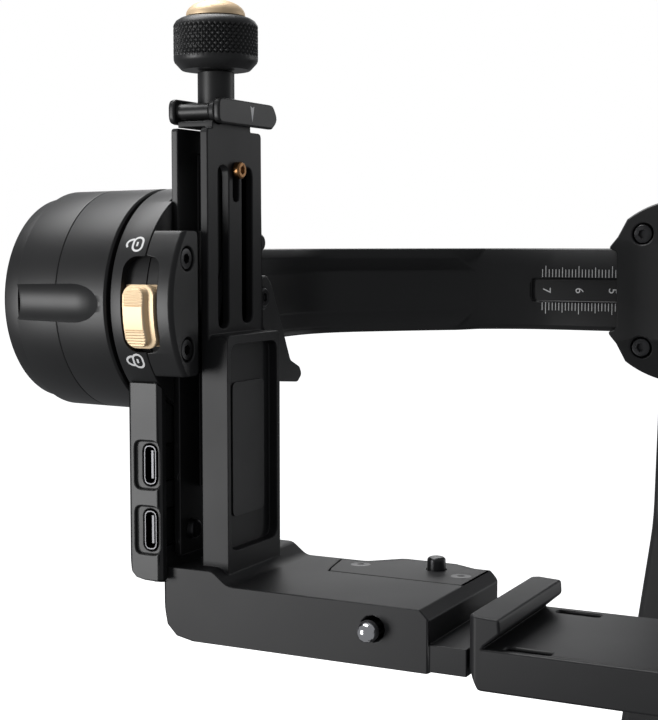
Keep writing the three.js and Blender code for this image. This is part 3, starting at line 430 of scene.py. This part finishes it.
def centre_of(node):
    low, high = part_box(node)
    return (low + high) / 2


# ---------------------------------------------------------------- lock sliders

# In mm. low and high are the ends of the slider along its travel, and recess is half its slot's length.
SLIDER = {"width": 8.9, "low": -10.4, "high": 4.8, "depth": 1.8, "proud": 1.6, "recess": 10.8}


def ease(t):
    t = max(0.0, min(1.0, t))
    return t * t * (3 - 2 * t)


def rounded_distance(u, v, half_u, half_v, radius):
    """How far the point (u, v) lies inside a round-cornered rectangle, in mm."""
    du = abs(u) - half_u + radius
    dv = abs(v) - half_v + radius
    outside = math.hypot(max(du, 0), max(dv, 0))
    return radius - outside - min(max(du, dv), 0)


def slider_height(u, v):
    """Height over the housing at u across and v along the travel: a plate with a ribbed cap."""
    length = SLIDER["high"] - SLIDER["low"]
    plate_rise, plate_edge, cap_edge = 0.15, 0.35, 0.55
    plain_half, rib_from, rib_depth, rib_pitch = 2.6, 0.5, 0.16, 0.62
    plate = rounded_distance(u, v, SLIDER["width"] / 2, length / 2, 3)
    cap = rounded_distance(u + 0.35, v, 3, length / 2 - 0.9, 2)
    height = -SLIDER["depth"] + (SLIDER["depth"] + plate_rise) * ease(plate / plate_edge)
    height += (SLIDER["proud"] - plate_rise) * ease(cap / cap_edge)
    past_plain = abs(v) - plain_half
    if past_plain > 0 and cap > rib_from:
        height -= rib_depth * (0.5 + 0.5 * math.cos(2 * math.pi * past_plain / rib_pitch))
    return height


def lock_slider(node, radius, turn):
    """The slider is drawn on an axis along X, towards -Y, and turn puts it in its place."""
    across, along = 44, 150
    half = SLIDER["width"] / 2
    length = SLIDER["high"] - SLIDER["low"]
    middle = (SLIDER["high"] + SLIDER["low"]) / 2
    underside = -SLIDER["depth"] - 0.02
    build = bmesh.new()

    def row(u, topside):
        made = []
        for j in range(along + 1):
            v = SLIDER["low"] + length * j / along
            reach = radius + (slider_height(u, v - middle) if topside else underside)
            angle = v / radius
            made.append(build.verts.new((u, -reach * math.cos(angle), reach * math.sin(angle))))
        return made

    top, bottom = [], []
    for i in range(across + 1):
        u = -half + 2 * half * i / across
        top.append(row(u, True))
        bottom.append(row(u, False))
    for i in range(across):
        for j in range(along):
            build.faces.new([top[i][j], top[i][j + 1], top[i + 1][j + 1], top[i + 1][j]])
            build.faces.new([bottom[i][j], bottom[i + 1][j], bottom[i + 1][j + 1], bottom[i][j + 1]])
    for i in range(across):
        for j in (0, along):
            build.faces.new([top[i][j], top[i + 1][j], bottom[i + 1][j], bottom[i][j]])
    for j in range(along):
        for i in (0, across):
            build.faces.new([top[i][j], bottom[i][j], bottom[i][j + 1], top[i][j + 1]])
    build.transform(turn)
    piece = add_piece("gold_" + node, build)
    smooth(piece, 60)
    stand_for(piece, node)


def slider_recess(radius, turn):
    """The shallow slot that a slider runs in, as a cutter."""
    depth, clear, corner = 2.1, 0.3, 3.2
    low, high = radius - depth, radius + 3
    band = lathe("band", [[-20, low], [-20, high], [20, high], [20, low]], (0, 0, 0), "X", radius=0)
    window = rounded_box(2 * SLIDER["recess"], SLIDER["width"] + 2 * clear, corner)
    cutter = prism("recess", window, -radius - 8, -radius + 8, (0, 0, 0), "Y")
    carve(cutter, band, "INTERSECT")
    cutter.data.transform(turn)
    return cutter


def to_place(rotation, centre):
    """Turns a piece and moves it to centre, which is in the unit that the piece is drawn in."""
    return Matrix.Translation(Vector(centre)) @ rotation


# ---------------------------------------------------------------- tilt motor


def tilt_motor():
    tilt = pivot["tilt"]
    left = low_end("tilt_drum", "X", tilt)
    seam, seam_half = 11.24, 0.16
    drum = lathe("motor_drum", [
        [0, 23.6], [0, 26.1], [seam - seam_half, 26.28], [seam, 26.05], [seam + seam_half, 26.28],
        [24.7, MOTOR_RADIUS], [25.2, 26], [25.2, 12], [22.7, 12], [22.7, 23.6],
    ], left, "X", 192, 0.12)
    flute_radius, flute_depth = 8, 1.9
    flute_axis = left + Vector((0, -(MOTOR_RADIUS - flute_depth + flute_radius) * MM, 0))
    carve(drum, lathe("flute", [
        [-1, 0], [-1, flute_radius], [17, flute_radius], [20.2, 7.4], [22.4, 6.5], [23.8, 5.9], [23.8, 0],
    ], flute_axis, "X", 192, 1.5))
    stand_for(drum, "tilt_drum")

    cap = lathe("motor_end_ring", [
        [0, 0], [0, 20.2], [0.5, 20.5], [0.5, 21.2], [0, 21.5], [0, 23.4], [0.9, 24.5], [5.3, 25.1],
        [5.3, 23.2], [8.3, 23.2], [8.3, 21], [2.4, 21], [2.4, 0],
    ], low_end("drum_end_cap", "X", tilt), "X", 192, 0.25)
    stand_for(cap, "drum_end_cap")

    ring = low_end("lock_ring", "X", tilt)
    low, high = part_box("lock_ring")
    width = (high.x - low.x) / MM
    bore = 8.3
    flange = lathe("motor_lock_ring", [
        [0, bore], [0, MOTOR_RADIUS], [width, MOTOR_RADIUS], [width, bore],
    ], ring, "X", 192, 0.35)
    slider_low, slider_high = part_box("tilt_lock_slider")
    slider_middle = Vector(((slider_low.x + slider_high.x) / 2, tilt.y, tilt.z))
    upright = Matrix.Identity(4)
    carve(flange, slider_recess(MOTOR_RADIUS, to_place(upright, slider_middle)))
    rail_low, rail_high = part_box("vertical_rail")
    beside, behind = 0.6, 0.3
    front, back = (rail_low.y - tilt.y) / MM - beside, (rail_high.y - tilt.y) / MM + beside
    foot, top = (rail_low.z - tilt.z) / MM, (rail_high.z - tilt.z) / MM
    channel = [(front, foot), (back, foot), (back, top), (front, top)]
    channel_from = (rail_low.x - ring.x) / MM - behind
    carve(flange, prism("channel", channel, channel_from, channel_from + 20, ring, "X"))
    stand_for(flange, "lock_ring")
    lock_slider("tilt_lock_slider", MOTOR_RADIUS, to_place(upright, slider_middle / MM))


def padlock(closed):
    """A padlock lying on its side, as strokes in mm: its body, its shackle and its keyhole."""
    body = [(0.55 + x, y) for x, y in rounded_box(2.5, 3.4, 1.2)]
    body.append(body[0])
    reach = math.pi if closed else 0.72 * math.pi
    steps = 12
    shackle = []
    for step in range(steps + 1):
        angle = math.pi / 2 + reach * step / steps
        shackle.append((-0.7 + 1.7 * math.cos(angle), 1.2 * math.sin(angle)))
    return [body, shackle, [(0.4, 0.55), (0.4, -0.55)]]


def stroke(build, points, width, lift, place):
    """A raised line of that width along points, put on a surface by place(u, v, height)."""
    count = len(points)
    sides = []
    for i, point in enumerate(points):
        here = Vector(point)
        before = Vector(points[max(i - 1, 0)])
        after = Vector(points[min(i + 1, count - 1)])
        if points[0] == points[-1] and i in (0, count - 1):
            before, after = Vector(points[-2]), Vector(points[1])
        across = (after - before).normalized().orthogonal() * width / 2
        left, right = here + across, here - across
        row = []
        for edge, height in ((left, lift), (right, lift), (right, -lift), (left, -lift)):
            row.append(build.verts.new(place(edge.x, edge.y, height)))
        sides.append(row)
    for first, second in zip(sides, sides[1:]):
        for k in range(4):
            build.faces.new([first[k], first[(k + 1) % 4], second[(k + 1) % 4], second[k]])
    build.faces.new(sides[0])
    build.faces.new(sides[-1])


def lock_marks():
    """Padlock marks over and under the tilt slider, printed on the ring."""
    tilt = pivot["tilt"] / MM
    middle = centre_of("lock_ring").x / MM + 0.7
    line, lift = 0.5, 0.04
    build = bmesh.new()
    for degrees, closed in ((30.5, False), (-29, True)):
        def on_ring(u, v, height, degrees=degrees):
            angle = math.radians(degrees) + v / MOTOR_RADIUS
            reach = MOTOR_RADIUS + height
            return (middle + u, tilt.y - reach * math.cos(angle), tilt.z + reach * math.sin(angle))
        for points in padlock(closed):
            stroke(build, points, line, lift, on_ring)
    piece = add_piece("padlock_marks", build)
    finish_piece(piece, white_print, body_of["lock_ring"])


# ---------------------------------------------------------------- fine screw


def knurled_knob():
    """The knob's side is cut by two crossing sets of slanted grooves."""
    low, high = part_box("adjust_knob")
    origin = low_end("adjust_knob", "Z", centre_of("adjust_knob"))
    height = (high.z - low.z) / MM
    radius = (high.x - low.x) / 2 / MM
    count = 46  # grooves each way
    slant = 0.66  # how many grooves round a groove gets in each mm of height
    depth, half_groove, fade = 0.42, 0.55, 0.35
    knurl_low, knurl_high = 2.9, height - 2
    rows = 44
    profile = [(0, 0), (0, radius - 1.9), (0.3, radius - 1.55), (1.7, radius - 0.25), (2.2, radius - 0.05)]
    profile += [(knurl_low + (knurl_high - knurl_low) * i / rows, radius) for i in range(rows + 1)]
    profile += [
        (height - 1.7, radius - 0.1), (height - 0.9, radius - 0.6), (height - 0.25, radius - 1.6),
        (height, radius - 2.4), (height, 0),
    ]
    segments = count * 10

    def groove_at(z, angle):
        turns = count * angle / (2 * math.pi)
        nearest = min(abs((turns + z * slant) % 1 - 0.5), abs((turns - z * slant) % 1 - 0.5)) * 2
        edge = ease(min(z - knurl_low, knurl_high - z) / fade)
        return depth * edge * max(1 - nearest / half_groove, 0)

    build = bmesh.new()
    rings = []
    for z, reach in profile:
        if reach == 0:
            rings.append([build.verts.new((0, 0, z))])
            continue
        ring = []
        for i in range(segments):
            angle = 2 * math.pi * i / segments
            here = reach - groove_at(z, angle) if reach == radius else reach
            ring.append(build.verts.new((here * math.cos(angle), here * math.sin(angle), z)))
        rings.append(ring)
    for first, second in zip(rings, rings[1:]):
        skin(build, first, second)
    knob = add_piece("knurled_knob", build, origin)
    smooth(knob, 40)
    stand_for(knob, "adjust_knob")

    dome_low = low_end("knob_cap", "Z", centre_of("adjust_knob"))
    dome_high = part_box("knob_cap")[1].z
    rise = (dome_high - dome_low.z) / MM
    dome_radius, dome_foot = 6.9, 0.25
    arc = []
    for degrees in range(0, 90, 6):
        angle = math.radians(degrees)
        arc.append((dome_foot + (rise - dome_foot) * math.sin(angle), dome_radius * math.cos(angle)))
    dome = lathe("gold_dome", [(0, 0), (0, dome_radius), *arc, (rise, 0)], dome_low, "Z", 96, 0)
    smooth(dome, 50)
    stand_for(dome, "knob_cap")


def arrow_mark():
    """A long white arrowhead on the bail's right-hand paddle, pointing down."""
    _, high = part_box("bail_lever")
    face = high.x / MM
    middle = high.y / MM - 12.3
    top, notch, tall, half = high.z / MM - 1, 0.45, 3.7, 0.95
    outline = [(middle - half, top), (middle, top - notch), (middle + half, top), (middle, top - tall)]
    mark = prism("arrow_mark", outline, face - 0.05, face + 0.04, (0, 0, 0), "X")
    finish_piece(mark, white_print, body_of["bail_lever"])


# ---------------------------------------------------------------- screws, pins and buttons


def screw_head(name, centre, axis, facing, radius, length, socket):
    """A cap screw's head with a hexagonal socket. centre is the middle of its outer face."""
    start = -length if facing > 0 else 0
    end = start + length
    rim, deep, clear, turned_by = 0.25, 1.3, 1, 0.3
    head = lathe(name, [[start, 0], [start, radius], [end, radius], [end, 0]], centre, axis, 48, rim)
    bottom, top = (-deep, clear) if facing > 0 else (-clear, deep)
    carve(head, prism("hex", regular(6, socket, turned_by), bottom, top, centre, axis))
    return head


def screws():
    roll_head, roll_socket = 2.6, 1.35
    for node, axis, facing, length, socket in (
        ("clamp_screw_upper", "X", 1, 1, 1.25),
        ("clamp_screw_lower", "X", 1, 1, 1.25),
        ("roll_clamp_screw_upper", "Y", -1, roll_head, roll_socket),
        ("roll_clamp_screw_lower", "Y", -1, roll_head, roll_socket),
    ):
        low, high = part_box(node)
        centre = (low + high) / 2
        index = "XYZ".index(axis)
        centre[index] = high[index] if facing > 0 else low[index]
        radius = (high.z - low.z) / 2 / MM
        head = screw_head("head_" + node, centre, axis, facing, radius, length, socket)
        stand_for(head, node)

    # The right-hand pair of the roll clamp mirrors the left-hand pair.
    roll = pivot["roll"]
    for node in ("roll_clamp_screw_upper", "roll_clamp_screw_lower"):
        low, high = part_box(node)
        centre = (low + high) / 2
        centre.x = 2 * roll.x - centre.x
        centre.y = low.y
        radius = (high.z - low.z) / 2 / MM
        head = screw_head("right_" + node, centre, "Y", -1, radius, roll_head, roll_socket)
        finish_piece(head, materials["dark_steel"], body_of[node])

    # Two flush screws hold the insert plate.
    low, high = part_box("insert_plate")
    proud = 0.04
    for name, x, y in (
        ("insert_screw_left", low.x + 6.6 * MM, high.y - 9.9 * MM),
        ("insert_screw_right", high.x - 3.3 * MM, high.y - 11 * MM),
    ):
        centre = Vector((x, y, high.z + proud * MM))
        head = screw_head(name, centre, "Z", 1, 2.5, 0.5, 1)
        finish_piece(head, materials["dark_steel"], body_of["insert_plate"])


def plunger_and_pin():
    tip = low_end("front_plunger", "Y", centre_of("front_plunger"))
    nose_length, nose_radius = 2.45, 2.4
    nose = []
    for degrees in range(0, 91, 9):
        angle = math.radians(degrees)
        nose.append((nose_length - nose_length * math.cos(angle), nose_radius * math.sin(angle)))
    profile = [*nose, (3.2, 2.38), (4.3, 1.85), (14.9, 1.8), (14.9, 0)]
    plunger = lathe("chrome_plunger", profile, tip, "Y", 72, 0)
    smooth(plunger, 45)
    stand_for(plunger, "front_plunger")
    low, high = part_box("top_pin")
    rise = (high.z - low.z) / MM
    pin = lathe("round_top_pin", [[0, 0], [0, 2.2], [rise - 0.5, 2.2], [rise, 1.7], [rise, 0]],
                low_end("top_pin", "Z", centre_of("top_pin")), "Z", 64, 0.25)
    stand_for(pin, "top_pin")


# ---------------------------------------------------------------- beam, with its millimetre scale


def beam_scale():
    """A tick every millimetre and a number every ten, in two rows along the beam's front."""
    low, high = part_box("roll_beam")
    thick, zero_inset, window_depth = 11, 12.6, 0.4
    face = high.y / MM - thick
    zero = high.x / MM - zero_inset
    middle = (low.z + high.z) / 2 / MM
    upper, lower, line = 3.6, -3.9, 0.2
    build = bmesh.new()

    # A ray from the front finds the surface, because the beam curves where the scale ends.
    def on_face(u, v, height):
        x, z = zero - u, middle + v
        _, place, _, _ = nodes["roll_beam"].ray_cast(Vector((x, face - 20, z)) * MM, (0, 1, 0))
        return (x, place.y / MM - height, z)

    for i in range(72):
        reach = 2.3
        if i % 5 == 0:
            reach = 2.9
        if i % 10 == 0:
            reach = 3.3
        stroke(build, [(i, upper), (i, upper + reach)], line, INK, on_face)
        stroke(build, [(i, lower), (i, lower - reach)], line, INK, on_face)
    ticks = add_piece("scale_ticks", build)
    finish_piece(ticks, white_print, body_of["roll_beam"])

    for number in range(8):
        curve = bpy.data.curves.new(f"digit_{number}", "FONT")
        curve.body = str(number)
        curve.size = 3.5 * MM
        curve.extrude = INK * MM
        curve.align_x = "CENTER"
        curve.align_y = "CENTER"
        text = bpy.data.objects.new(f"text_{number}", curve)
        bpy.context.scene.collection.objects.link(text)
        bpy.context.view_layer.update()
        depsgraph = bpy.context.evaluated_depsgraph_get()
        mesh = bpy.data.meshes.new_from_object(text.evaluated_get(depsgraph))
        place = Vector((zero - 10 * number, face + window_depth - INK, middle - 0.3)) * MM
        upright = Matrix.Rotation(math.radians(90), 4, "X") @ Matrix.Rotation(math.radians(-90), 4, "Z")
        mesh.transform(Matrix.Translation(place) @ upright)
        bpy.data.objects.remove(text)
        digit = bpy.data.objects.new(f"scale_digit_{number}", mesh)
        bpy.context.scene.collection.objects.link(digit)
        finish_piece(digit, white_print, body_of["roll_beam"])


# ---------------------------------------------------------------- roll and pan motors


def roll_motor():
    roll = pivot["roll"]
    shell = lathe("roll_housing", [
        [0, 12], [0, MOTOR_RADIUS], [15.8, MOTOR_RADIUS], [16, MOTOR_RADIUS - 0.2], [16.2, MOTOR_RADIUS],
        [34, MOTOR_RADIUS], [34, 23.2], [2.5, 23.2], [2.5, 12],
    ], low_end("roll_stator", "Y", roll), "Y", 192, 0.3)
    turn = Matrix.Rotation(math.radians(90), 4, "Z")
    low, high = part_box("roll_lock_slider")
    middle = Vector((roll.x, (low.y + high.y) / 2, roll.z))
    carve(shell, slider_recess(MOTOR_RADIUS, to_place(turn, middle)))
    stand_for(shell, "roll_stator")
    lock_slider("roll_lock_slider", MOTOR_RADIUS, to_place(turn, middle / MM))

    flange = lathe("roll_flange", [
        [0, 0], [0, 26.2], [2.3, 26.2], [2.3, 8], [11.6, 8], [11.6, 20], [29.6, 20], [29.6, 0],
    ], low_end("roll_rotor", "Y", roll), "Y", 160, 0.3)
    stand_for(flange, "roll_rotor")
    rear = lathe("roll_rear_cap", [
        [0, 21.4], [0, 22.9], [4.3, 22.9], [4.3, 25.4], [6.4, 24.8], [7, 23.8], [7, 19.2], [6.6, 18.8],
        [6.6, 0], [4.6, 0], [4.6, 21.4],
    ], low_end("roll_end_cap", "Y", roll), "Y", 160, 0.3)
    stand_for(rear, "roll_end_cap")


def pan_motor():
    pan = pivot["pan"]
    rotor = lathe("pan_housing", [
        [0, 26], [0, 29.5], [0.5, PAN_RADIUS], [25, PAN_RADIUS], [27.2, 28], [28, 26],
        [28, 0], [25, 0], [25, 26],
    ], low_end("pan_rotor", "Z", pan), "Z", 192, 0.5)
    turn = Matrix.Rotation(math.radians(90), 4, "Y")
    low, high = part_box("pan_lock_slider")
    middle = Vector((pan.x, pan.y, (low.z + high.z) / 2))
    carve(rotor, slider_recess(PAN_RADIUS, to_place(turn, middle)))
    stand_for(rotor, "pan_rotor")
    lock_slider("pan_lock_slider", PAN_RADIUS, to_place(turn, middle / MM))
    stator = lathe("pan_base", [
        [0, 24], [0, 25.6], [7, 29], [10, PAN_RADIUS], [26.9, PAN_RADIUS], [27.7, 29.5],
        [27.7, 12.3], [24.7, 12.3], [24.7, 24],
    ], low_end("pan_stator", "Z", pan), "Z", 192, 0.5)
    stand_for(stator, "pan_stator")


# ---------------------------------------------------------------- handle


def grip_sleeve():
    """Rubber sleeve with rows of small round dimples."""
    low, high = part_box("grip_sleeve")
    height = (high.z - low.z) / MM
    squash = (high.x - low.x) / (high.y - low.y)
    outer = [(0, 22.2), (height * 0.31, 22.8), (height, 21.8)]
    around, rows = 252, 168
    pitch, dimple_depth, dimple_size, plain_end = 2.4, 0.6, 0.42, 3
    thick, lip, chamfer = 1.5, 0.4, 0.4
    build = bmesh.new()
    rings = []

    def radius_at(z):
        for (z0, r0), (z1, r1) in zip(outer, outer[1:]):
            if z <= z1 + 1e-9:
                return r0 + (r1 - r0) * (z - z0) / (z1 - z0)
        return outer[-1][1]

    def ring(z, radius, dimpled):
        made = []
        for i in range(around):
            angle = 2 * math.pi * i / around
            reach = radius
            if dimpled:
                column = angle * 22 / pitch
                row = z / pitch
                odd = math.floor(row) % 2
                du = (column + 0.5 * odd) % 1 - 0.5
                dv = row % 1 - 0.5
                reach -= dimple_depth * ease(1 - math.hypot(du, dv) / dimple_size)
            made.append(build.verts.new((reach * math.cos(angle) * squash, reach * math.sin(angle), z)))
        rings.append(made)

    ring(0, outer[0][1] - thick, False)
    ring(0, outer[0][1] - lip, False)
    for k in range(rows + 1):
        z = chamfer + (height - 2 * chamfer) * k / rows
        ring(z, radius_at(z), plain_end < z < height - plain_end)
    ring(height, outer[-1][1] - lip, False)
    ring(height, outer[-1][1] - thick, False)
    for first, second in zip(rings, [*rings[1:], rings[0]]):
        skin(build, first, second)
    sleeve = add_piece("dimpled_sleeve", build, (0, 0, low.z))
    smooth(sleeve, 50)
    stand_for(sleeve, "grip_sleeve")


# ---------------------------------------------------------------- CAD nodes that keep their shape

# Rounding of edges in mm, on the nodes where it isn't CAD_EDGE.
OTHER_EDGES = {
    "bail_lever": 0.5, "receiver_base": 0.6, "roll_beam": 0.5, "roll_clamp": 0.6, "port_housing": 0.35,
    "pan_arm": 0.6, "insert_plate": 0.15, "usb_socket_lower": 0.08, "usb_socket_upper": 0.08,
    "rail_clamp_lever": 0.4, "display_window": 0.1, "control_board": 0.1, "label_plate": 0.05,
    "fine_stop_screw": 0.12, "rail_stop_screw": 0.12, "lever_pivot_screw": 0.12,
    "jaw_release_button": 0.12, "receiver_lever_pin": 0.12,
}


def keep_cad_nodes():
    for name, node in nodes.items():
        if node.hide_render:
            continue
        node.data.materials.clear()
        node.data.materials.append(materials[slot_of[name]])
        soften(node, OTHER_EDGES.get(name, CAD_EDGE))


add_camera()
add_lights()
add_room()
add_floor()
tilt_motor()
lock_marks()
knurled_knob()
arrow_mark()
screws()
plunger_and_pin()
beam_scale()
roll_motor()
pan_motor()
grip_sleeve()
keep_cad_nodes()
bpy.context.scene.view_settings.view_transform = "Standard"
